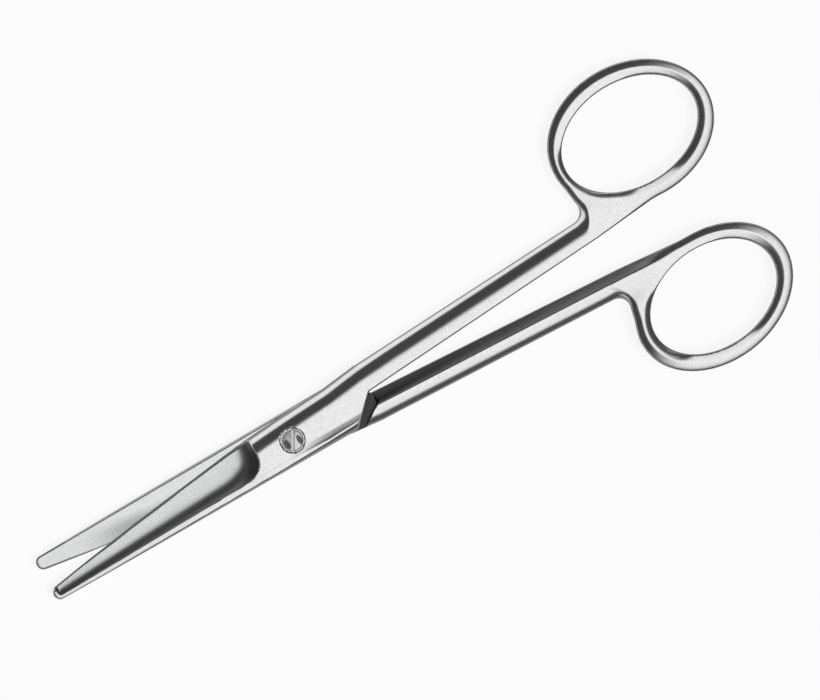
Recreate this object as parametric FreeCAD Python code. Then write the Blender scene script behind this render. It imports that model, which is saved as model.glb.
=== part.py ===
import FreeCAD, Part
import math
import os

# Dissecting scissors: two forged halves, turned head to tail about their length, held by one slotted screw.
# Sizes are millimetres, angles degrees.
#
# Each half is drawn closed, in its own frame: x from the screw towards the tip, y from the middle line of the
# closed scissors towards the back of its own blade, z from the plane where the halves meet towards its own
# outer face. Its finger ring is on the other side, at negative x and y.

# How the halves stand
rest_opening = 6.0  # how far they are open as shown
pivot_offset = 0.6  # from the middle line to the screw
lap_gap = 0.1  # running gap between the flat faces of the laps
overlap = 1.0  # how far cutting bodies reach past what they cut
reach = 20.0  # wider than any half is

# Blade
blade_length = 58.8
back_at_pivot = 5.45
back_at_tip = 2.12
edge_at_pivot = 4.95
edge_at_tip = 1.42
tip_radius = 1.55
tip_middle = 0.55  # how far the rounded tip lies to the back's side of the middle line
back_taper_start = 51.5  # from here the back draws in to the tip
edge_taper_start = 45.0
lap_height = 2.9
tip_height = 1.35
edge_thickness = 0.3
back_round_share = 0.5  # part of the height that the rounded back takes
back_round_width = 1.0
tip_back_round_width = 0.45

# Hollow grind on the outer face
hollow_start = 7.8
hollow_end_radius = 4.5
hollow_land = 1.5  # plain strip left along the back at the joint
hollow_tip_land = 0.3
hollow_slope = 0.1
hollow_radius = 2.3

# Lap and shoulder
lap_waist_x = -11.0
lap_corner_x = -18.8  # where the slanted rear end of the lap meets the shank
lap_rear_x = -12.6  # where it meets the back
lap_rear_y = 6.2
shoulder_outer_x = -14.0
shoulder_outer_y = -5.41
shoulder_bend_x = -18.9
shoulder_bend_y = -1.74
shoulder_inner_x = -19.2
shoulder_inner_y = 1.07

# Shank
crown_width = 4.2  # the rounded outer part of the crown
largest_crown_share = 0.75  # of the section's width
tip_crown_width = 1.8
shank_outer = 5.42
neck_outer = 5.2
shank_inner = 0.78
neck_inner = 0.14
shank_height = 2.4
neck_height = 2.15
shank_depth = 1.7  # of its underside below the plane where the halves meet
neck_depth = 1.5
shank_start_x = -26.0
neck_x = -76.0
shank_lip = 0.87  # height of the lower edge of the inner wall
neck_lip = 0.25
facet_width = 2.8
neck_facet_width = 2.0
inner_round_width = 0.4
inner_round_height = 0.5

# Where the shank runs out inside the ring
run_out_x = -94.0
run_out_outer = 3.2
run_out_inner = -0.6
run_out_height = 1.2
run_out_depth = 1.0
run_out_facet = 0.8
run_out_lip = -0.2
run_out_round_width = 0.25
run_out_round_height = 0.3

# Finger rings: each lies between two ovals, its hole and its rim. The two rings differ a little, as they do on
# hand-finished halves.
ring_height = 1.95
rings = {
    "upper_half": {
        "hole": {"x": -92.9, "y": -14.3, "length": 30.4, "width": 21.5, "tilt": -0.8},
        "rim": {"x": -93.2, "y": -14.4, "length": 36.0, "width": 28.5, "tilt": -4.9},
        "neck_lean": 0.7,  # how far the neck leans forward from the front of the ring to the shank
    },
    "lower_half": {
        "hole": {"x": -90.9, "y": -13.9, "length": 28.7, "width": 20.7, "tilt": -9.8},
        "rim": {"x": -91.0, "y": -14.0, "length": 35.9, "width": 26.8, "tilt": -12.6},
        "neck_lean": 1.9,
    },
}
# A quarter of a ring's section, from its crest to its wall: shares of its half width and of its height
ring_quarter = [(0.0, 1.0), (0.48, 0.95), (0.86, 0.81), (1.0, 0.45)]
web_height = 1.35
web_round = 0.9
web_radius = 2.9

# Pivot screw
screw_diameter = 3.0
head_diameter = 4.5
head_height = 1.35
head_dome = 0.2
head_gap = 0.35  # round the head, in its counterbore
seat_gap = 0.05
running_clearance = 0.05
slot_width = 0.66
slot_depth = 0.6
slot_angle = 59.8
screw_end_chamfer = 0.2

# Worked-out values
seam_x = lap_corner_x
half_gap = lap_gap / 2
thickness = 2 * lap_height
counterbore_depth = head_height + seat_gap


def vector(x, y, z):
    return FreeCAD.Vector(x, y, z)


def between(x, x_a, value_a, x_b, value_b):
    """Value on the straight line between two stations, held beyond them."""
    share = min(max((x - x_a) / (x_b - x_a), 0.0), 1.0)
    return value_a + (value_b - value_a) * share


def sloped(x, x_a, value_a, x_b, value_b):
    """Value on the straight line through two stations, also beyond them."""
    return value_a + (value_b - value_a) * (x - x_a) / (x_b - x_a)


def quarter(first, second, centre):
    """The quarter of an ellipse between the ends of its two half axes, whichever is the longer."""
    if (first - centre).Length < (second - centre).Length:
        first, second = second, first
    return Part.Ellipse(first, second, centre).toShape(0, math.pi / 2)


def line(start, end):
    return Part.LineSegment(start, end).toShape()


def prism(points, low, high):
    """A straight-sided body over a closed outline of plan points."""
    corners = [vector(x, y, low) for x, y in points]
    face = Part.Face(Part.makePolygon(corners + corners[:1]))
    return face.extrude(vector(0, 0, high - low))


def back_line(x):
    return sloped(x, 0, back_at_pivot, blade_length, back_at_tip)


def edge_line(x):
    return -sloped(x, 0, edge_at_pivot, blade_length, edge_at_tip)


def outer_line(x):
    """The outer side, from the cutting edge past the waist of the lap to the neck."""
    if x >= 0:
        return edge_line(x)
    if x >= seam_x:
        return -between(x, lap_waist_x, edge_at_pivot, seam_x, shank_outer)
    if x >= neck_x:
        return -between(x, seam_x, shank_outer, neck_x, neck_outer)
    return -sloped(x, neck_x, neck_outer, run_out_x, run_out_outer)


def top_height(x):
    if x >= hollow_start:
        return sloped(x, hollow_start, lap_height, blade_length, tip_height)
    if x >= shank_start_x:
        return between(x, lap_waist_x, lap_height, shank_start_x, shank_height)
    if x >= neck_x:
        return between(x, shank_start_x, shank_height, neck_x, neck_height)
    return sloped(x, neck_x, neck_height, run_out_x, run_out_height)


def blade_section(x):
    """Half of a bar: domed from the outer side, level, and rounded down to the back."""
    outer = outer_line(x)
    back = back_line(x)
    top = top_height(x)
    crown = between(x, hollow_start, crown_width, blade_length, tip_crown_width)
    round_width = between(x, hollow_start, back_round_width, blade_length, tip_back_round_width)
    round_base = top * (1 - back_round_share)
    foot = vector(x, outer, 0)
    crest = vector(x, outer + crown, top)
    back_crest = vector(x, back - round_width, top)
    back_side = vector(x, back, round_base)
    back_foot = vector(x, back, 0)
    return Part.Wire([
        quarter(foot, crest, vector(x, outer + crown, 0)),
        line(crest, back_crest),
        quarter(back_crest, back_side, vector(x, back - round_width, round_base)),
        line(back_side, back_foot),
        line(back_foot, foot),
    ])


def tip_trim():
    """The plan outline that rounds the tip: two sides drawn in to a small circle."""
    centre = vector(blade_length - tip_radius, tip_middle, 0)

    def touch(start, side):
        """Where the straight side from a start point meets the tip's circle."""
        away = start - centre
        turn = math.atan2(away.y, away.x) - side * math.acos(tip_radius / away.Length)
        return centre + vector(math.cos(turn), math.sin(turn), 0) * tip_radius

    back_start = vector(back_taper_start, back_line(back_taper_start), 0)
    edge_start = vector(edge_taper_start, edge_line(edge_taper_start), 0)
    back_far = vector(-reach, reach, 0)
    edge_far = vector(-reach, -reach, 0)
    back_touch = touch(back_start, 1)
    edge_touch = touch(edge_start, -1)
    tip = vector(blade_length, tip_middle, 0)
    outline = Part.Wire([
        line(back_far, back_start),
        line(back_start, back_touch),
        Part.Arc(back_touch, tip, edge_touch).toShape(),
        line(edge_touch, edge_start),
        line(edge_start, edge_far),
        line(edge_far, back_far),
    ])
    return Part.Face(outline).extrude(vector(0, 0, thickness))


def hollow():
    """The body that the grinding wheel takes off the outer face of the blade."""
    ridge_x = hollow_start + hollow_end_radius
    ridge_y = back_line(ridge_x) - hollow_land
    far_x = blade_length + reach
    far_y = sloped(far_x, ridge_x, ridge_y, blade_length, back_line(blade_length) - hollow_tip_land)
    below = -thickness
    corner = hollow_end_radius * (1 - math.sqrt(0.5))
    bend_start = vector(hollow_start, ridge_y - hollow_end_radius, below)
    bend_middle = vector(hollow_start + corner, ridge_y - corner, below)
    bend_end = vector(ridge_x, ridge_y, below)
    far_back = vector(far_x, far_y, below)
    far_edge = vector(far_x, -reach, below)
    near_edge = vector(hollow_start, -reach, below)
    outline = Part.Wire([
        line(near_edge, bend_start),
        Part.Arc(bend_start, bend_middle, bend_end).toShape(),
        line(bend_end, far_back),
        line(far_back, far_edge),
        line(far_edge, near_edge),
    ])
    body = Part.Face(outline).extrude(vector(0, 0, 3 * thickness))

    def floor_point(x, y):
        return vector(x, y, edge_thickness + hollow_slope * (y - edge_line(x)))

    low_x = -reach
    high_x = blade_length + 2 * reach
    corners = [
        floor_point(low_x, -2 * reach),
        floor_point(high_x, -2 * reach),
        floor_point(high_x, reach),
        floor_point(low_x, reach),
    ]
    floor = Part.Face(Part.makePolygon(corners + corners[:1]))
    body = body.cut(floor.extrude(vector(0, 0, -5 * thickness)))
    wall_feet = [edge for edge in body.Edges if is_wall_foot(edge)]
    return body.makeFillet(hollow_radius, wall_feet)


def is_wall_foot(edge):
    """True for an edge of the hollow's floor under its wall, from the cutting edge round to beyond the tip."""
    ends = [vertex.Point for vertex in edge.Vertexes]
    on_floor = all(point.z < lap_height for point in ends)
    beyond_tip = all(point.x > blade_length + overlap for point in ends)
    beyond_edge = all(point.y < -reach + overlap for point in ends)
    return on_floor and not beyond_tip and not beyond_edge


def blade_and_lap():
    stations = [seam_x, lap_waist_x, hollow_start, blade_length + overlap]
    body = Part.makeLoft([blade_section(x) for x in stations], True, True)
    lap_rear = prism(
        [
            (lap_corner_x, shank_inner),
            (lap_rear_x, lap_rear_y),
            (lap_rear_x + reach * (lap_rear_x - lap_corner_x), lap_rear_y + reach * (lap_rear_y - shank_inner)),
            (lap_corner_x - reach, lap_rear_y + reach),
            (lap_corner_x - reach, shank_inner),
        ],
        -overlap,
        thickness,
    )
    under = Part.makeBox(
        blade_length + 2 * reach, 2 * reach, thickness, vector(-reach, -reach, half_gap - thickness)
    )
    body = body.common(tip_trim())
    return body.cut(lap_rear).cut(under).cut(hollow())


def shank_section(x):
    """A full bar: crown, short inner wall, long slanted facet beneath, and rounded outer side."""
    outer = outer_line(x)
    if x >= neck_x:
        inner = between(x, seam_x, shank_inner, neck_x, neck_inner)
        facet = between(x, seam_x, facet_width, neck_x, neck_facet_width)
        lip = between(x, seam_x, shank_lip, neck_x, neck_lip)
        depth = between(x, seam_x, shank_depth, neck_x, neck_depth)
        round_width = inner_round_width
        round_height = inner_round_height
    else:
        inner = sloped(x, neck_x, neck_inner, run_out_x, run_out_inner)
        facet = sloped(x, neck_x, neck_facet_width, run_out_x, run_out_facet)
        lip = sloped(x, neck_x, neck_lip, run_out_x, run_out_lip)
        depth = sloped(x, neck_x, neck_depth, run_out_x, run_out_depth)
        round_width = sloped(x, neck_x, inner_round_width, run_out_x, run_out_round_width)
        round_height = sloped(x, neck_x, inner_round_height, run_out_x, run_out_round_height)
    height = top_height(x)
    crown = min(crown_width, largest_crown_share * (inner - outer))
    foot = vector(x, outer, 0)
    crest = vector(x, outer + crown, height)
    inner_crest = vector(x, inner - round_width, height)
    inner_side = vector(x, inner, height - round_height)
    lip_point = vector(x, inner, lip)
    lower_crest = vector(x, inner - facet, -depth)
    return Part.Wire([
        quarter(foot, crest, vector(x, outer + crown, 0)),
        line(crest, inner_crest),
        quarter(inner_crest, inner_side, vector(x, inner - round_width, height - round_height)),
        line(inner_side, lip_point),
        line(lip_point, lower_crest),
        quarter(foot, lower_crest, vector(x, inner - facet, 0)),
    ])


def shank():
    start_x = shoulder_outer_x + overlap
    stations = [start_x, seam_x, shank_start_x, neck_x, run_out_x]
    body = Part.makeLoft([shank_section(x) for x in stations], True, True)
    above_lap = Part.makeBox(reach, 2 * reach, thickness, vector(seam_x, -reach, half_gap))
    outward_x = shoulder_outer_x - shoulder_bend_x
    outward_y = shoulder_outer_y - shoulder_bend_y
    ahead_of_shoulder = prism(
        [
            (shoulder_outer_x + outward_x, shoulder_outer_y + outward_y),
            (shoulder_bend_x, shoulder_bend_y),
            (shoulder_inner_x, shoulder_inner_y),
            (shoulder_inner_x, reach),
            (reach, reach),
            (reach, shoulder_outer_y + outward_y),
        ],
        -thickness,
        half_gap,
    )
    return body.cut(above_lap).cut(ahead_of_shoulder)


def oval(shape, across, z):
    """A level oval wire of a ring, at a share of the way across from its hole to its rim."""
    hole = shape["hole"]
    rim = shape["rim"]
    size = {key: hole[key] + (rim[key] - hole[key]) * across for key in hole}
    turn = math.radians(size["tilt"])
    centre = vector(size["x"], size["y"], z)
    long_end = centre + vector(math.cos(turn), math.sin(turn), 0) * (size["length"] / 2)
    short_end = centre + vector(-math.sin(turn), math.cos(turn), 0) * (size["width"] / 2)
    return Part.Wire([Part.Ellipse(long_end, short_end, centre).toShape()])


def ring(shape):
    """An oval ring: low domes above and below, closely rounded corners, and upright walls."""
    levels = []
    for side, up in ((1, 1), (1, -1), (-1, -1), (-1, 1)):
        quarter_levels = [(0.5 + side * half / 2, up * height * ring_height) for half, height in ring_quarter]
        outward = side == up
        levels += quarter_levels if outward else quarter_levels[:0:-1]
    return Part.makeLoft([oval(shape, across, z) for across, z in levels], True, True, True)


def web(shape):
    """The thin plate that fills the corner between the shank and the front of the ring."""
    rim = shape["rim"]
    turn = math.radians(rim["tilt"])
    front_reach = math.hypot(rim["length"] / 2 * math.cos(turn), rim["width"] / 2 * math.sin(turn))
    difference = (rim["length"] ** 2 - rim["width"] ** 2) / 4
    front_x = rim["x"] + front_reach
    front_y = rim["y"] + difference * math.sin(turn) * math.cos(turn) / front_reach
    front = vector(front_x, front_y, -web_height)
    corner = vector(front_x - shape["neck_lean"], -neck_outer, -web_height)
    down = (front - corner).normalize()
    along = vector(1, 0, 0)
    half_angle = along.getAngle(down) / 2
    inward = (along + down).normalize()
    touch_length = web_radius / math.tan(half_angle)
    start = corner + along * touch_length
    middle = corner + inward * (web_radius / math.sin(half_angle) - web_radius)
    end = corner + down * touch_length
    inside = vector(rim["x"], -neck_outer / 2, -web_height)
    near = vector(start.x, -neck_outer / 2, -web_height)
    outline = Part.Wire([
        Part.Arc(start, middle, end).toShape(),
        line(end, front),
        line(front, inside),
        line(inside, near),
        line(near, start),
    ])
    plate = Part.Face(outline).extrude(vector(0, 0, 2 * web_height))
    bends = [edge for edge in plate.Edges if isinstance(edge.Curve, Part.Circle)]
    plate = plate.makeFillet(web_round, bends)
    opening = Part.Face(oval(shape, 0.5, -thickness)).extrude(vector(0, 0, 2 * thickness))
    return plate.cut(opening)


def forged_half(name):
    shape = rings[name]
    return blade_and_lap().fuse([shank(), ring(shape), web(shape)])


def cylinder(diameter, low, high):
    return Part.makeCylinder(diameter / 2, high - low, vector(0, 0, low))


def upper_half():
    """Drawn about the screw, with the lap faces at z = 0."""
    body = forged_half("upper_half")
    body.translate(vector(0, -pivot_offset, 0))
    bore = cylinder(screw_diameter + 2 * running_clearance, -thickness, thickness)
    counterbore = cylinder(head_diameter + 2 * head_gap, lap_height - counterbore_depth, thickness)
    body = body.cut(bore).cut(counterbore)
    body.rotate(vector(0, 0, 0), vector(0, 0, 1), rest_opening / 2)
    return body


def lower_half():
    body = forged_half("lower_half")
    body.rotate(vector(0, 0, 0), vector(1, 0, 0), 180)
    body.translate(vector(0, -pivot_offset, 0))
    body = body.cut(cylinder(screw_diameter, -thickness, thickness))
    body.rotate(vector(0, 0, 0), vector(0, 0, 1), -rest_opening / 2)
    return body


def pivot_screw():
    head_foot = lap_height - head_height
    dome_radius = (head_diameter ** 2 / 4 + head_dome ** 2) / (2 * head_dome)
    head = cylinder(head_diameter, head_foot, lap_height + head_dome)
    dome = Part.makeSphere(dome_radius, vector(0, 0, lap_height + head_dome - dome_radius))
    stem = cylinder(screw_diameter, screw_end_chamfer - lap_height, head_foot)
    end = Part.makeCone(
        screw_diameter / 2 - screw_end_chamfer, screw_diameter / 2, screw_end_chamfer, vector(0, 0, -lap_height)
    )
    body = head.common(dome).fuse([stem, end]).removeSplitter()
    slot = Part.makeBox(
        2 * head_diameter, slot_width, thickness,
        vector(-head_diameter, -slot_width / 2, lap_height + head_dome - slot_depth),
    )
    slot.rotate(vector(0, 0, 0), vector(0, 0, 1), slot_angle)
    return body.cut(slot)


os.makedirs("parts", exist_ok=True)
for name, make in (("upper_half", upper_half), ("lower_half", lower_half), ("pivot_screw", pivot_screw)):
    shape = make()
    shape.translate(vector(0, 0, lap_height))
    solid_count = len(shape.Solids)
    shape = shape.Solids[0] if solid_count == 1 else shape
    print(name, "solids", solid_count, "valid", shape.isValid(), "volume mm3", round(shape.Volume, 1))
    shape.exportStep("parts/" + name + ".step")
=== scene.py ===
import math

import bpy
import numpy as np
from mathutils import Matrix


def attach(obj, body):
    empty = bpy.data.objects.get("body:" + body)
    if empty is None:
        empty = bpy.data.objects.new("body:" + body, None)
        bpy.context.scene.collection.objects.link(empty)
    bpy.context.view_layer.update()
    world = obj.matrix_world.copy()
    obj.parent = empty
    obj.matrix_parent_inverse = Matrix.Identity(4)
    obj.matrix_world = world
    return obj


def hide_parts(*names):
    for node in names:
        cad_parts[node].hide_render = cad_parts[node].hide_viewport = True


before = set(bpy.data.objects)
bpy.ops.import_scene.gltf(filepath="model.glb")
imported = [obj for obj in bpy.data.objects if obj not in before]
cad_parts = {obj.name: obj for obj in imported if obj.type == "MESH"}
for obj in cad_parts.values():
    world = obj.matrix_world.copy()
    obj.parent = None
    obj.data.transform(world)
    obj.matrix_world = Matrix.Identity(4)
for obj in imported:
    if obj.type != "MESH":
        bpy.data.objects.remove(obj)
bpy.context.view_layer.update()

# The forged halves. Each is one piece of stainless steel, drop-forged, ground and polished: blade, lap, shank
# and finger ring. The blade is hollow-ground outside, and its flat inner face keeps its grinding marks.
# Sizes are millimetres in the half's own frame: x to the tip, y to the back of its blade, z to its outer face.

MM = 0.001
REST_OPENING = 6.0
PIVOT_OFFSET = 0.6
LAP_HEIGHT = 2.9
HALF_GAP = 0.05
BLADE_LENGTH = 58.8
LAP_END = -18.8

OUTER_LINE = [
    (-94.0, -3.2), (-76.0, -5.2), (-18.8, -5.42), (-11.0, -4.95), (0.0, -4.95),
    (13.0, -4.65), (30.0, -3.5), (45.0, -2.35), (58.8, -1.42),
]
BACK_LINE = [(-40.0, 7.715), (58.8, 2.12), (98.8, -0.145)]
TOP_HEIGHT = [
    (-94.0, 1.95), (-82.0, 1.97), (-74.0, 2.15), (-26.0, 2.4), (-11.0, 2.9), (7.8, 2.9), (58.8, 1.35),
]
BLADE_CROWN = [(7.8, 4.2), (58.8, 1.8)]
BACK_ROUND = [(-17.0, 2.1), (-6.0, 1.1), (7.8, 0.7), (58.8, 0.4)]
INNER_LINE = [(-94.0, -0.6), (-76.0, 0.14), (-18.8, 0.78)]
FACET_WIDTH = [(-94.0, 1.7), (-76.0, 2.0), (-18.8, 2.8)]
INNER_LIP = [(-94.0, -1.5), (-76.0, 0.25), (-18.8, 0.87)]
GRID_OUTER = OUTER_LINE[1:]
GRID_MIDDLE = [(-94.0, -0.6), (-76.0, 0.14), (-18.8, 0.78), (7.8, 0.84), (58.8, 0.57)]
GRID_BACK = [(-18.8, 5.5), (-12.6, 6.16), (58.8, 2.12)]
DEPTH = [(-94.0, 1.93), (-82.0, 1.9), (-70.0, 1.55), (-18.8, 1.7)]
SHOULDER = [(-24.0, -12.9), (-5.41, -14.0), (-1.74, -18.9), (1.07, -19.2)]
SHOULDER_CHAMFER = 0.45
LAP_REAR = [(LAP_END, 0.78), (-12.6, 6.2)]

TIP_RADIUS = 1.55
TIP_MIDDLE = 0.55
TIP_FROM_BACK = 51.5
TIP_FROM_EDGE = 45.0

HOLLOW_START = 7.8
HOLLOW_END = 57.7
HOLLOW_CORNER = 4.5
RIDGE_START = 12.3
RIDGE_WIDTH = 1.85
RIDGE_TIP_WIDTH = 1.0
FLOOR_AT_EDGE = 0.36
FLOOR_SLOPE = 0.045
EDGE_LIP = 0.1
EDGE_SLOPE = 0.5

GROOVE_IN = 2.0
GROOVE_WIDTH = 2.2
GROOVE_HEIGHT = 0.36
GROOVE_RADIUS = 0.47

SHANK_CROWN = 4.2
NECK_FOOT = -5.2
NECK_FILLET = 2.9
WEB_REAR = (-93.0, -2.6)
RING_HEIGHT = 1.95
RIM_FALL = 0.267

SCREW_RADIUS = 1.5
BORE_RADIUS = 1.55
COUNTERBORE_RADIUS = 2.6
COUNTERBORE_FLOOR = 1.5
THROUGH = 9

RINGS = {
    "upper_half": {
        "hole": {"x": -92.9, "y": -14.3, "length": 30.4, "width": 21.5, "tilt": -0.8},
        "rim": {"x": -93.2, "y": -14.4, "length": 36.0, "width": 28.5, "tilt": -4.9},
        "front": (-75.24, -15.0),
        "neck_lean": 0.7,
        "steep_at": 25.0,
    },
    "lower_half": {
        "hole": {"x": -90.9, "y": -13.9, "length": 28.7, "width": 20.7, "tilt": -9.8},
        "rim": {"x": -91.0, "y": -14.0, "length": 35.9, "width": 26.8, "tilt": -12.6},
        "front": (-73.24, -15.8),
        "neck_lean": 1.9,
        "steep_at": 6.0,
    },
}


def along(x, stations):
    """The value of a driving line at each x."""
    return np.interp(x, [s[0] for s in stations], [s[1] for s in stations])


def fade(value, start, end):
    """Runs smoothly from 0 at the start to 1 at the end."""
    share = np.clip((value - start) / (end - start), 0, 1)
    return share * share * (3 - 2 * share)


def both(a, b, soft=0.001):
    """Solid where both are, with the edge between them softened over a width."""
    near = np.maximum(soft - np.abs(a - b), 0)
    return np.maximum(a, b) + near * near / (4 * soft)


def either(a, b, soft=0.001):
    """Solid where one is, with the corner between them filled over a width."""
    return -both(-a, -b, soft)


def both_round(a, b, radius):
    """Solid where both are, with a true round on the edge between them."""
    return np.minimum(-radius, np.maximum(a, b)) + np.hypot(
        np.maximum(radius + a, 0), np.maximum(radius + b, 0)
    )


def filled(a, b, radius):
    """Solid where one is, with a true fillet in the corner between them."""
    return np.maximum(radius, np.minimum(a, b)) - np.hypot(
        np.maximum(radius - a, 0), np.maximum(radius - b, 0)
    )


def line_side(x, y, start, end):
    """How far a point lies to the left of a line in plan."""
    run, rise = end[0] - start[0], end[1] - start[1]
    return ((y - start[1]) * run - (x - start[0]) * rise) / math.hypot(run, rise)


def dome(y, z, foot, width, height):
    """A quarter-ellipse crown that rises from its foot to level ground."""
    return (np.hypot(np.maximum(foot + width - y, 0) / width, z / height) - 1) * height


def tip_plan(x, y):
    """Two straight sides drawn in to a small rounded tip."""
    centre = BLADE_LENGTH - TIP_RADIUS
    starts = {
        1: (TIP_FROM_BACK, along(TIP_FROM_BACK, BACK_LINE)),
        -1: (TIP_FROM_EDGE, along(TIP_FROM_EDGE, OUTER_LINE)),
    }
    sides = []
    for side, (sx, sy) in starts.items():
        away = math.hypot(sx - centre, sy - TIP_MIDDLE)
        turn = math.atan2(sy - TIP_MIDDLE, sx - centre) - side * math.acos(TIP_RADIUS / away)
        touch = (centre + TIP_RADIUS * math.cos(turn), TIP_MIDDLE + TIP_RADIUS * math.sin(turn))
        sides.append(side * line_side(x, y, (sx, sy), touch))
    straight = np.maximum(*sides)
    ahead = np.hypot(x - centre, y - TIP_MIDDLE) - TIP_RADIUS
    return np.where(x > centre, np.maximum(ahead, np.minimum(straight, 0)), straight)


def hollow_plan(x, y, corner):
    """How far a point lies outside the hollow's outline, for a corner radius."""
    ridge_start = (RIDGE_START, along(RIDGE_START, BACK_LINE) - RIDGE_WIDTH)
    ridge_end = (BLADE_LENGTH, along(BLADE_LENGTH, BACK_LINE) - RIDGE_TIP_WIDTH)
    side = line_side(x, y, ridge_start, ridge_end)
    return both_round(both_round(HOLLOW_START - x, side, corner), 1.6 * (x - HOLLOW_END), 0.8)


def into_hollow(x, y):
    """How far inside the hollow's outline a point lies, counted shorter in its rounded corner."""
    deep = -hollow_plan(x, y, 2 * HOLLOW_CORNER)
    return 0.35 * -hollow_plan(x, y, HOLLOW_CORNER) + 0.325 * (deep + np.hypot(deep, 0.6))


def hollow(x, y, z):
    """What the grinding wheel takes off the outer face of the blade, down to the thin cutting edge."""
    top = along(x, TOP_HEIGHT)
    from_edge = y - along(x, OUTER_LINE)
    floor = FLOOR_AT_EDGE + FLOOR_SLOPE * from_edge
    reach = 0.3 * top
    step = reach + 0.5 * fade(x, 11.5, 8.5)
    wall = np.maximum(top - step - floor, 0.2)
    drop = step + wall * (1 - np.exp(-np.maximum(into_hollow(x, y), 0) / reach))
    ground_to = np.minimum(floor, EDGE_LIP + EDGE_SLOPE * from_edge) + top - drop - floor
    return np.maximum(hollow_plan(x, y, HOLLOW_CORNER), (ground_to - z) * 0.8)


def chamfered(body, end, width):
    """Solid where both are, with a flat chamfer down to the end face."""
    return np.maximum(np.maximum(body, end), 0.788 * body + 0.616 * (end + width))


def blade_and_lap(x, y, z):
    """The blade and lap: crowned outer side, rounded back, flat inner face, hollow, and dip along the back."""
    top = along(x, TOP_HEIGHT)
    back = along(x, BACK_LINE)
    width = along(x, BACK_ROUND)
    body = dome(y, z, along(x, OUTER_LINE), along(x, BLADE_CROWN), top)
    above = np.maximum(z / top - 0.35, 0) / 0.65
    rounding = np.hypot(np.maximum(y - back + width, 0) / width, above)
    body = both(body, (rounding - 1) * width)
    rear = np.minimum(line_side(x, y, *LAP_REAR), y - LAP_REAR[0][1])
    body = both(body, rear, 0.5)
    body = both(body, tip_plan(x, y), 0.45)
    body = both(body, HALF_GAP - z, 0.08)
    body = np.maximum(body, both_round(y - back, HALF_GAP - z, 0.6))
    body = both(body, -hollow(x, y, z), 0.12 + 0.2 * fade(x, 9.5, 8.5))
    from_groove = np.hypot((y - back + GROOVE_IN) / GROOVE_WIDTH, z - top - GROOVE_HEIGHT)
    groove = GROOVE_RADIUS - from_groove - 0.11 * fade(x, -9.0, 4.0)
    body = both(body, groove, 0.08)
    return both(body, -19.1 - x)


def plan_outline(x, y, shape):
    """How far a point lies outside the shank and web in plan, with the neck's fillet."""
    front_x, front_y = shape["front"]
    ahead = line_side(x, y, (front_x - shape["neck_lean"], NECK_FOOT), (front_x, front_y))
    return filled(along(x, OUTER_LINE) - y, ahead, NECK_FILLET)


def oval(x, y, size):
    """How far a point lies outside an oval."""
    turn = math.radians(size["tilt"])
    dx, dy = x - size["x"], y - size["y"]
    lengthwise = dx * math.cos(turn) + dy * math.sin(turn)
    crosswise = dy * math.cos(turn) - dx * math.sin(turn)
    share = np.hypot(lengthwise / (size["length"] / 2), crosswise / (size["width"] / 2))
    share = np.maximum(share, 0.05)
    return np.hypot(dx, dy) * (1 - 1 / share)


def shank(x, y, z, shape):
    """The shank: crowned outer side, flat top, and the long facet beneath its inner side."""
    inner = along(x, INNER_LINE)
    outer = along(x, OUTER_LINE)
    facet = along(x, FACET_WIDTH)
    lip = along(x, INNER_LIP)
    depth = along(x, DEPTH)
    outline = plan_outline(x, y, shape)
    from_neck = shape["front"][0] + 1.4 - x
    narrow = 1 - 0.6 * np.maximum(fade(from_neck, 0.0, 3.8), fade(-y, 5.5, 8.0))
    crown = np.minimum(SHANK_CROWN, 0.75 * (inner - outer)) * narrow
    body = dome(-outline, z, 0.0, crown, along(x, TOP_HEIGHT))
    body = both(body, y - inner, 0.45)
    slope = np.hypot(depth + lip, facet)
    body = both(body, ((y - inner) * (depth + lip) - (z - lip) * facet) / slope, 0.2)
    below = dome(-outline, np.minimum(z, 0), 0.0, (inner - facet - outer) * narrow, depth)
    body = both(body, below, 0.2)
    body = both(body, np.minimum(x - LAP_END, z - HALF_GAP))
    shoulder = np.minimum(x - along(y, SHOULDER), HALF_GAP - z)
    return chamfered(body, shoulder, SHOULDER_CHAMFER)


def ring_and_web(x, y, z, shape):
    """The oval ring and the web before it, level with each other and falling a little at the edges."""
    from_hole = oval(x, y, shape["hole"])
    from_rim = -oval(x, y, shape["rim"])
    half = np.clip((from_hole + from_rim) / 2, 0.8, 1.9)
    across_ring = -line_side(x, y, WEB_REAR, shape["front"])
    within_lines = np.maximum(plan_outline(x, y, shape), y - along(x, INNER_LINE))
    outline = either(-from_rim, np.maximum(within_lines, across_ring), 0.3)
    outward = np.clip(1 + outline / half, 0, 1.5) ** 1.5
    inward = np.clip(1 - from_hole / half, 0, 1.5) ** 1.5
    ahead = x - shape["hole"]["x"]
    steep_at = math.radians(shape["steep_at"])
    beside = y - shape["hole"]["y"]
    toward = (ahead * math.cos(steep_at) + beside * math.sin(steep_at)) / (from_hole + 13.0)
    hole_fall = 0.06 + 0.19 * fade(-ahead, 2.0, 8.0) + 0.41 * fade(toward, 0.6, 1.0)
    domed = np.abs(z) - RING_HEIGHT + half * (RIM_FALL * outward + hole_fall * inward)
    return both(domed, outline, 0.35)


def ring_share(x, y):
    """0 on the shank, 1 on the ring and web, and in between on the neck."""
    return 1 - (1 - fade(-y, 4.5, 9.0)) * (1 - fade(-x, 78.0, 92.0))


def shank_and_ring(x, y, z, shape):
    """The shank, which runs smoothly into the web and the ring."""
    bar = shank(x, y, z, shape)
    body = bar + (ring_and_web(x, y, z, shape) - bar) * ring_share(x, y)
    return both(body, -oval(x, y, shape["hole"]), 0.35)


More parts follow.
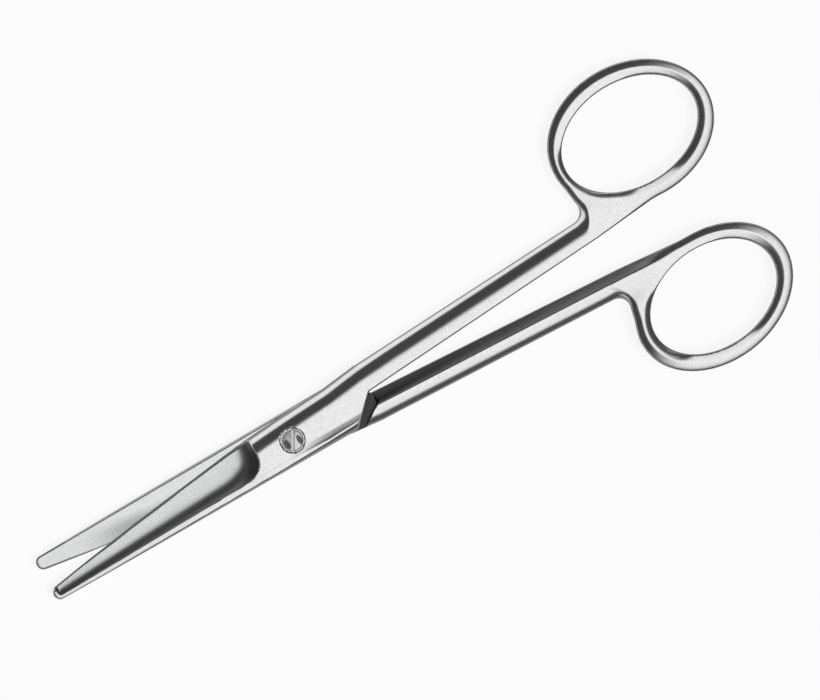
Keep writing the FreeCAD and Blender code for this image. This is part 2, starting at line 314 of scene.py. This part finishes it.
def drilled(body, x, y, z, radius, low, high):
    """The body with a round hole about the screw, between two heights."""
    across = np.hypot(x, y - PIVOT_OFFSET) - radius
    hole = np.maximum(across, np.maximum(low - z, z - high))
    return both(body, -hole, 0.12)


def as_laid(x, y, z):
    """The sampling grid as it is."""
    return x, y, z


def skin(solid, low, high, step, follow=as_laid):
    """The surface of a solid, as points, outward directions and four-sided faces.

    Each cell of the grid that the surface runs through gives one point, which is then drawn onto the surface.
    """
    axes = [np.arange(a, b + s, s) for a, b, s in zip(low, high, step)]
    value = solid(*follow(*np.meshgrid(*axes, indexing="ij")))
    inside = value < 0
    corners = [(i, j, k) for i in (0, 1) for j in (0, 1) for k in (0, 1)]
    nx, ny, nz = (n - 1 for n in value.shape)

    def at(array, corner):
        i, j, k = corner
        return array[i:i + nx, j:j + ny, k:k + nz]

    count = sum(at(inside, c).astype(np.int8) for c in corners)
    cells = np.argwhere((count > 0) & (count < 8))
    number = np.full((nx, ny, nz), -1, dtype=np.int64)
    number[tuple(cells.T)] = np.arange(len(cells))
    total = np.zeros((len(cells), 3))
    crossings = np.zeros(len(cells))
    for axis in range(3):
        for corner in corners:
            if corner[axis]:
                continue
            far = list(corner)
            far[axis] = 1
            a = value[tuple((cells + corner).T)]
            b = value[tuple((cells + far).T)]
            cut = (a < 0) != (b < 0)
            share = np.where(cut, a / np.where(cut, a - b, 1), 0)
            point = np.array(corner, float) + 0 * total
            point[:, axis] += share
            total += np.where(cut[:, None], point, 0)
            crossings += cut
    points = (cells + total / crossings[:, None]) * step + [a[0] for a in axes]
    points = np.stack(follow(*points.T), axis=1)

    faces = []
    for axis in range(3):
        after, last = (axis + 1) % 3, (axis + 2) % 3
        near = np.moveaxis(inside, axis, 0)[:-1]
        beyond = np.moveaxis(inside, axis, 0)[1:]
        changed = np.argwhere(np.moveaxis(near != beyond, 0, axis))
        starts_inside = inside[tuple(changed.T)]
        ring_of_cells = []
        for back_after, back_last in ((1, 1), (0, 1), (0, 0), (1, 0)):
            cell = changed.copy()
            cell[:, after] -= back_after
            cell[:, last] -= back_last
            ring_of_cells.append(number[tuple(cell.T)])
        quads = np.stack(ring_of_cells, axis=1)
        quads[~starts_inside] = quads[~starts_inside][:, ::-1]
        faces.append(quads)

    def slope(p, reach):
        """How fast the solid's value rises at each point, along each axis."""
        parts = []
        for axis in range(3):
            shift = np.zeros(3)
            shift[axis] = reach
            parts.append(solid(*(p + shift).T) - solid(*(p - shift).T))
        return np.stack(parts, axis=1) / (2 * reach)

    for _ in range(2):
        direction = slope(points, 0.02)
        strength = np.maximum((direction ** 2).sum(axis=1), 0.05)
        move = direction * (solid(*points.T) / strength)[:, None]
        points -= np.clip(move, -0.1, 0.1)
    direction = slope(points, 0.06)
    direction /= np.linalg.norm(direction, axis=1)[:, None]
    return points, direction, np.concatenate(faces)


class Shade:
    """A value in a material. Arithmetic on it adds Math nodes."""

    def __init__(self, finish, socket):
        self.finish = finish
        self.socket = socket

    def work(self, operation, *others):
        return self.finish.maths(operation, self, *others)

    def __add__(self, other):
        return self.work("ADD", other)

    def __rsub__(self, other):
        return self.finish.maths("SUBTRACT", other, self)

    def __mul__(self, other):
        return self.work("MULTIPLY", other)

    def __truediv__(self, other):
        return self.work("DIVIDE", other)

    def between_0_and_1(self):
        return self.work("MAXIMUM", 0.0).work("MINIMUM", 1.0)

    __radd__ = __add__


class Finish:
    """The nodes of one material or of the studio."""

    def __init__(self, owner):
        owner.use_nodes = True
        self.tree = owner.node_tree
        self.tree.nodes.clear()

    def add(self, kind, settings=None, values=None, output=0):
        """A node: its settings first, then the values or links of its sockets."""
        node = self.tree.nodes.new(kind)
        for setting, value in (settings or {}).items():
            if setting == "stops":
                stops = node.color_ramp.elements
                stops[0].position, stops[0].color = value[0]
                stops[1].position, stops[1].color = value[-1]
                for place, shade in value[1:-1]:
                    stops.new(place).color = shade
            else:
                setattr(node, setting, value)
        for name, value in (values or {}).items():
            if isinstance(value, Shade):
                self.tree.links.new(value.socket, node.inputs[name])
            else:
                node.inputs[name].default_value = value
        return Shade(self, node.outputs[output]) if len(node.outputs) else node

    def maths(self, operation, *values):
        """A Math node on its values."""
        return self.add("ShaderNodeMath", {"operation": operation}, dict(enumerate(values)))

    def mix(self, share, first, second, kind="MIX"):
        """The first colour with a share of the second."""
        settings = {"data_type": "RGBA", "blend_type": kind}
        return self.add("ShaderNodeMix", settings, {0: share, 6: first, 7: second}, output=2)

    def metal(self, colour, brightness, rough, height, relief_depth):
        """The shader of a metal with a fine relief, and its output."""
        tone = self.add("ShaderNodeCombineColor", {}, {0: brightness, 1: brightness, 2: brightness})
        toned = self.mix(1.0, colour, tone, "MULTIPLY")
        settings = {"Strength": 0.5, "Distance": relief_depth, "Height": height}
        shader = self.add("ShaderNodeBsdfPrincipled", {}, {
            "Metallic": 1.0,
            "Base Color": toned,
            "Roughness": rough,
            "Normal": self.add("ShaderNodeBump", {}, settings),
        })
        self.add("ShaderNodeOutputMaterial", {}, {"Surface": shader})


def grey(level, warmth=0.0):
    """A grey, or one a little warmer or cooler."""
    return (level * (1 + warmth), level, level * (1 - warmth), 1.0)


def marks(finish, turn, scale, lengthwise, crosswise, detail):
    """Noise stretched along a half, for polishing and grinding marks."""
    place = finish.add("ShaderNodeTexCoord", output=3)
    turned = finish.add("ShaderNodeMapping", {}, {"Vector": place, "Rotation": (0, 0, turn)})
    stretch = (lengthwise, crosswise, crosswise)
    stretched = finish.add("ShaderNodeMapping", {}, {"Vector": turned, "Scale": stretch})
    return finish.add("ShaderNodeTexNoise", {}, {"Vector": stretched, "Scale": scale, "Detail": detail})


def instrument_steel(name, turn):
    """Polished stainless steel, ground on the blade's faces, with rougher painted shade on the lap and
    elsewhere, and painted dark, satin sides.
    """
    material = bpy.data.materials.new(name)
    finish = Finish(material)
    ground = finish.add("ShaderNodeAttribute", {"attribute_name": "ground"}, output=2)
    dull = finish.add("ShaderNodeAttribute", {"attribute_name": "dull"}, output=2)
    side = finish.add("ShaderNodeAttribute", {"attribute_name": "side"}, output=2)
    polish = marks(finish, turn, 900.0, 0.25, 2.5, 3.0)
    grind = marks(finish, turn, 900.0, 3.0, 0.3, 2.0)
    grain = marks(finish, turn, 3200.0, 1.0, 1.0, 2.0)
    cloud = marks(finish, turn, 120.0, 0.5, 1.5, 2.0)
    tarnished = (0.79, 0.815, 0.82, 1.0)
    colour = finish.mix(ground, grey(0.88), finish.mix(cloud, grey(0.92, -0.004), tarnished))
    # Painted shade: where dull is marked, the steel is darkened nearly to black and made rougher.
    colour = finish.mix(dull, colour, grey(0.09))
    # Painted dark reflection: faces turned to the side, and the long facet, are darkened so that the outline
    # and facet read dark.
    colour = finish.mix(side * 0.85, colour, grey(0.12))
    brightness = grain * 0.5 + polish * 0.1 + 0.7
    rough = 0.1 + cloud * 0.08 + polish * 0.06 + ground * grind * 0.05 + dull * 0.2 + side * 0.2
    height = polish * (1 - ground) * 0.35 + grind * ground * 0.9 + grain * 0.3
    finish.metal(colour, brightness, rough, height, relief_depth=0.00001)
    return material


def mesh_piece(name, points, directions, faces, material, marks_on):
    """A piece from its skin, shaded by the true direction of the surface at each point."""
    mesh = bpy.data.meshes.new(name)
    mesh.from_pydata(points.tolist(), [], faces.tolist())
    mesh.polygons.foreach_set("use_smooth", [True] * len(mesh.polygons))
    mesh.normals_split_custom_set_from_vertices(directions.tolist())
    for mark, values in marks_on.items():
        attribute = mesh.attributes.new(mark, "FLOAT", "POINT")
        attribute.data.foreach_set("value", values.astype(np.float32))
    mesh.materials.append(material)
    mesh.update()
    piece = bpy.data.objects.new(name, mesh)
    bpy.context.scene.collection.objects.link(piece)
    return piece


def follow_half(x, y, z):
    """Draws the grid's lines at y -5.2, 0.8 and 5.5 onto the half's outer edge, middle and back."""
    outer = along(x, GRID_OUTER)
    middle = along(x, GRID_MIDDLE)
    back = along(x, GRID_BACK)
    ring_side = -30.5 + (y + 30.5) * (outer + 30.5) / 25.3
    lower = outer + (y + 5.2) * (middle - outer) / 6.0
    upper = middle + (y - 0.8) * (back - middle) / 4.7
    beyond = back + (y - 5.5)
    above_middle = np.where(y < 5.5, upper, beyond)
    return x, np.where(y < -5.2, ring_side, np.where(y < 0.8, lower, above_middle)), z


HALF_GRID = ((-113.0, -30.5, -2.4), (60.2, 8.0, 3.4), (0.3, 0.25, 0.16))

for node, body in (("upper_half", "upper"), ("lower_half", "lower")):
    shape = RINGS[node]
    turn_over = node == "lower_half"
    turn = math.radians(-REST_OPENING / 2 if turn_over else REST_OPENING / 2)

    def solid(x, y, z):
        half = np.minimum(blade_and_lap(x, y, z), shank_and_ring(x, y, z, shape))
        if turn_over:
            return drilled(half, x, -y, z, SCREW_RADIUS, -THROUGH, THROUGH)
        half = drilled(half, x, y, z, BORE_RADIUS, -THROUGH, THROUGH)
        return drilled(half, x, y, z, COUNTERBORE_RADIUS, COUNTERBORE_FLOOR, THROUGH)

    points, directions, faces = skin(solid, *HALF_GRID, follow_half)
    x, y, z = points.T
    facing = directions[:, 2]
    in_hollow = fade(np.abs(hollow(x, y, z)), 0.2, 0.05) * (x > 6)
    inner_face = fade(np.abs(z - HALF_GAP), 0.2, 0.08) * fade(facing, -0.6, -0.9) * (x > -19.2)
    # Painted shade on the rear of the lap face, behind the other half's rear edge.
    painted_lap_shade = inner_face * fade(x, -5.0, -9.0)
    # Painted shade: the hollow's steep wall by the ridge is darkened in place of its dark reflection.
    wall_share = into_hollow(x, y) / along(x, TOP_HEIGHT)
    painted_wall_shade = in_hollow * (0.62 * fade(wall_share, 0.95, 0.55) + 0.3 * fade(wall_share, 0.5, 0.25))
    from_edge = y - along(x, OUTER_LINE)
    at_tip = (x > TIP_FROM_BACK) | ((x > TIP_FROM_EDGE) & (y < 0.5))
    from_edge = np.where(at_tip, np.minimum(from_edge, -tip_plan(x, y)), from_edge)
    # Painted shadow: a dark line along the cutting edge, on the hollow and on the inner face.
    painted_edge_shadow = np.maximum(in_hollow, inner_face) * fade(x, 6.0, 8.0) * fade(from_edge, 0.5, 0.28)
    # Painted shade: a band of the inner face along the cutting edge, darker where the other blade lies over
    # it.
    painted_face_shade = inner_face * fade(x, 4.0, 14.0) * fade(x, 52.0, 36.0) * fade(from_edge, 5.0, 2.0)
    # Painted shade in the shallow groove along the back of the lap.
    from_groove = np.abs(y - along(x, BACK_LINE) + 2.05)
    along_lap = fade(facing, 0.7, 0.9) * fade(x, 3.0, -10.0) * fade(x, -19.5, -18.0)
    painted_groove_shade = along_lap * fade(from_groove, 0.85, 0.3)
    on_ring = np.maximum(ring_share(x, y), fade(-x, 72.0, 77.0) * (y > -2.5))
    # Painted dark reflection: faces turned to the side are darkened towards the outline, from a slope that
    # differs on the ring.
    begins = np.where((z < 0) | (y > 0), 0.85, 0.73)
    begins = begins + (0.93 - begins) * on_ring
    side = fade(np.abs(facing), begins, begins - 0.15)
    # Painted dark reflection on the long facet under the shank's inner side.
    towards_facet = directions @ [0, 0.68, -0.73]
    facet = fade(towards_facet, 0.87, 0.95) * (x < -18.0) * (x > -96.0) * (y > -5.0)
    marks_on = {
        "ground": np.maximum(in_hollow, inner_face),
        "dull": np.max([painted_lap_shade, painted_wall_shade, 0.8 * painted_edge_shadow, 0.4 * painted_face_shade, 0.65 * painted_groove_shade], axis=0),
        "side": np.maximum(side * (1 - inner_face) * (1 - in_hollow), facet),
    }
    placing = np.array(Matrix.Rotation(turn, 3, "Z"))
    turning = placing @ np.diag([1, -1, -1]) if turn_over else placing
    placed = points @ turning.T + placing @ [0, -PIVOT_OFFSET, 0] + [0, 0, LAP_HEIGHT]
    steel = instrument_steel(node + "_steel", -turn)
    piece = mesh_piece(node + "_steel", placed * MM, directions @ turning.T, faces, steel, marks_on)
    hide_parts(node)
    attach(piece, body)


# The pivot screw. It is a turned steel screw with a low domed head and one slot, screwed down in the upper
# half's counterbore. Its end is filed flush with the lower half.

HEAD_RADIUS = 2.25
HEAD_LOW = 4.45
HEAD_HEIGHT = 1.35
HEAD_DOME = 0.2
SLOT_WIDTH = 0.66
SLOT_DEPTH = 0.6
SLOT_ANGLE = 59.8
# Two patches of painted shade on the head's dome.
PAINTED_SHADE_PATCHES = [((1.3, 0.25), (0.62, 1.1)), ((-1.4, 0.6), (0.55, 1.1))]


def screw(x, y, z):
    """The screw: its domed and slotted head on a plain stem."""
    across = np.hypot(x, y)
    top = HEAD_LOW + HEAD_HEIGHT + HEAD_DOME
    dome_radius = (HEAD_RADIUS ** 2 + HEAD_DOME ** 2) / (2 * HEAD_DOME)
    domed = np.sqrt(across ** 2 + (z - top + dome_radius) ** 2) - dome_radius
    head = both(both(across - HEAD_RADIUS, domed, 0.25), HEAD_LOW - z, 0.1)
    stem = both(across - SCREW_RADIUS, -z, 0.3)
    stem = np.maximum(stem, z - HEAD_LOW - 0.3)
    turn = math.radians(SLOT_ANGLE)
    beside = np.abs(y * math.cos(turn) - x * math.sin(turn)) - SLOT_WIDTH / 2
    slot = both(beside, top - SLOT_DEPTH - z, 0.05)
    return both(np.minimum(head, stem), -slot, 0.12)


def screw_steel():
    """Turned steel: fine rings on the head, with painted shade in the slot, on its steep faces and in two
    patches on the dome.
    """
    material = bpy.data.materials.new("screw_steel")
    finish = Finish(material)
    dull = finish.add("ShaderNodeAttribute", {"attribute_name": "dull"}, output=2)
    place = finish.add("ShaderNodeTexCoord", output=3)
    turned = {"wave_type": "RINGS", "rings_direction": "Z"}
    spacing = {"Vector": place, "Scale": 2600.0, "Distortion": 0.6}
    rings = finish.add("ShaderNodeTexWave", turned, spacing, output=1)
    grain = finish.add("ShaderNodeTexNoise", {}, {"Vector": place, "Scale": 3000.0, "Detail": 2.0})
    # Painted shade: marked places are darkened nearly to black and made rougher.
    colour = finish.mix(dull, grey(0.8), grey(0.12))
    brightness = grain * 0.25 + 0.85
    rough = 0.18 + rings * 0.06 + grain * 0.1 + dull * 0.3
    finish.metal(colour, brightness, rough, rings + grain, relief_depth=0.000008)
    return material


points, directions, faces = skin(screw, (-2.45, -2.45, -0.1), (2.45, 2.45, 6.15), (0.06, 0.06, 0.06))
# Painted shade on the steep faces: the slot's walls and the sides of the head and stem.
steep = fade(np.abs(directions[:, 2]), 0.75, 0.4)
x, y, z = points.T
painted_dome_shade = [
    fade(np.hypot((x - patch_x) / half_width, (y - patch_y) / half_length), 1.2, 0.7)
    for (patch_x, patch_y), (half_width, half_length) in PAINTED_SHADE_PATCHES
]
screw_painted_shade = np.maximum(steep * 0.9, np.maximum(*painted_dome_shade) * 0.85 * (z > 5.4))
piece = mesh_piece("pivot_screw_turned", points * MM, directions, faces, screw_steel(), {"dull": screw_painted_shade})
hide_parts("pivot_screw")
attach(piece, "lower")


# The floor. It is a large sheet of white paper, and the scissors lie flat on it. It looks white all over but
# for their soft shadow.

FLOOR_REACH = 12.0
FLOOR_DROP = 0.00003
PAPER_GREY = 0.86
WHITE_SHARE = 0.86
sheet = bpy.data.meshes.new("paper_floor")
corners = [(-1, -1), (1, -1), (1, 1), (-1, 1)]
places = [(x * FLOOR_REACH, y * FLOOR_REACH, -FLOOR_DROP) for x, y in corners]
sheet.from_pydata(places, [], [(0, 1, 2, 3)])
paper = bpy.data.materials.new("white_paper")
finish = Finish(paper)
camera_ray = finish.add("ShaderNodeLightPath", output=0)
glossy_ray = finish.add("ShaderNodeLightPath", output=3)
clear_ray = finish.add("ShaderNodeLightPath", output=6)
seen = camera_ray + glossy_ray + clear_ray
shaded = finish.add("ShaderNodeBsdfDiffuse", {}, {"Color": grey(PAPER_GREY)})
white = finish.add("ShaderNodeEmission", {}, {"Color": grey(1.0), "Strength": 1.0})
both_ways = finish.add("ShaderNodeMixShader", {}, {0: seen * WHITE_SHARE, 1: shaded, 2: white})
finish.add("ShaderNodeOutputMaterial", {}, {"Surface": both_ways})
sheet.materials.append(paper)
floor = bpy.data.objects.new("paper_floor", sheet)
bpy.context.scene.collection.objects.link(floor)


# The studio. White screens and dark cards stand round the table, and the polished steel shows them as its
# light and dark bands. A soft lamp overhead gives the shadow.

FAR_SIDE = [
    (0.0, 0.88), (0.30, 0.88), (0.36, 0.05), (0.825, 0.05), (0.875, 0.7), (0.92, 0.93), (1.0, 0.97),
]
NEAR_SIDE = [(0.0, 0.08), (0.51, 0.08), (0.62, 0.88), (1.0, 0.97)]
NEAR_BEARING = math.radians(126)
NEAR_SPREAD = 1.6

world = bpy.data.worlds.new("studio")
bpy.context.scene.world = world
finish = Finish(world)
toward = finish.add("ShaderNodeTexCoord", output=0)
east = finish.add("ShaderNodeSeparateXYZ", {}, {"Vector": toward}, output=0)
north = finish.add("ShaderNodeSeparateXYZ", {}, {"Vector": toward}, output=1)
up = finish.add("ShaderNodeSeparateXYZ", {}, {"Vector": toward}, output=2)
height = up.work("ARCSINE") / (math.pi / 2)
flat = (east * east + north * north + 0.000001).work("SQRT")
towards = (east * math.cos(NEAR_BEARING) + north * math.sin(NEAR_BEARING)) / flat
nearness = (towards * NEAR_SPREAD + 0.5).between_0_and_1()


def screens(bands):
    """The light of one side of the studio, in bands from the table up to overhead."""
    stops = [(place, grey(level)) for place, level in bands]
    return finish.add("ShaderNodeValToRGB", {"stops": stops}, {"Fac": height})


light = finish.mix(nearness, screens(FAR_SIDE), screens(NEAR_SIDE))
below = (up * -8.0).between_0_and_1()
light = finish.mix(below, light, grey(0.85))
background = finish.add("ShaderNodeBackground", {}, {"Color": light, "Strength": 1.0})
finish.add("ShaderNodeOutputWorld", {}, {"Surface": background})

lamp_data = bpy.data.lights.new("overhead_lamp", "SUN")
lamp_data.energy = 2.0
lamp_data.angle = math.radians(30)
lamp = bpy.data.objects.new("overhead_lamp", lamp_data)
lamp.rotation_euler = (math.radians(-18), math.radians(-14), 0)
lamp.visible_glossy = False
bpy.context.scene.collection.objects.link(lamp)


# The camera. It looks straight down through a long lens, from well above. It is turned so that the tips point
# to the lower left.

PICTURE_WIDTH = 0.16933
CENTRE = (-0.03033, -0.00392)
CAMERA_TURN = 149.8
camera_data = bpy.data.cameras.new("camera")
camera_data.lens = 300
camera_data.sensor_width = 36
camera_data.clip_start = 0.1
camera_data.clip_end = 40
camera = bpy.data.objects.new("camera", camera_data)
distance = PICTURE_WIDTH * camera_data.lens / camera_data.sensor_width
camera.location = (*CENTRE, LAP_HEIGHT * MM + distance)
camera.rotation_euler = (0, 0, math.radians(CAMERA_TURN))
bpy.context.scene.collection.objects.link(camera)
bpy.context.scene.camera = camera
bpy.context.scene.view_settings.view_transform = "Standard"
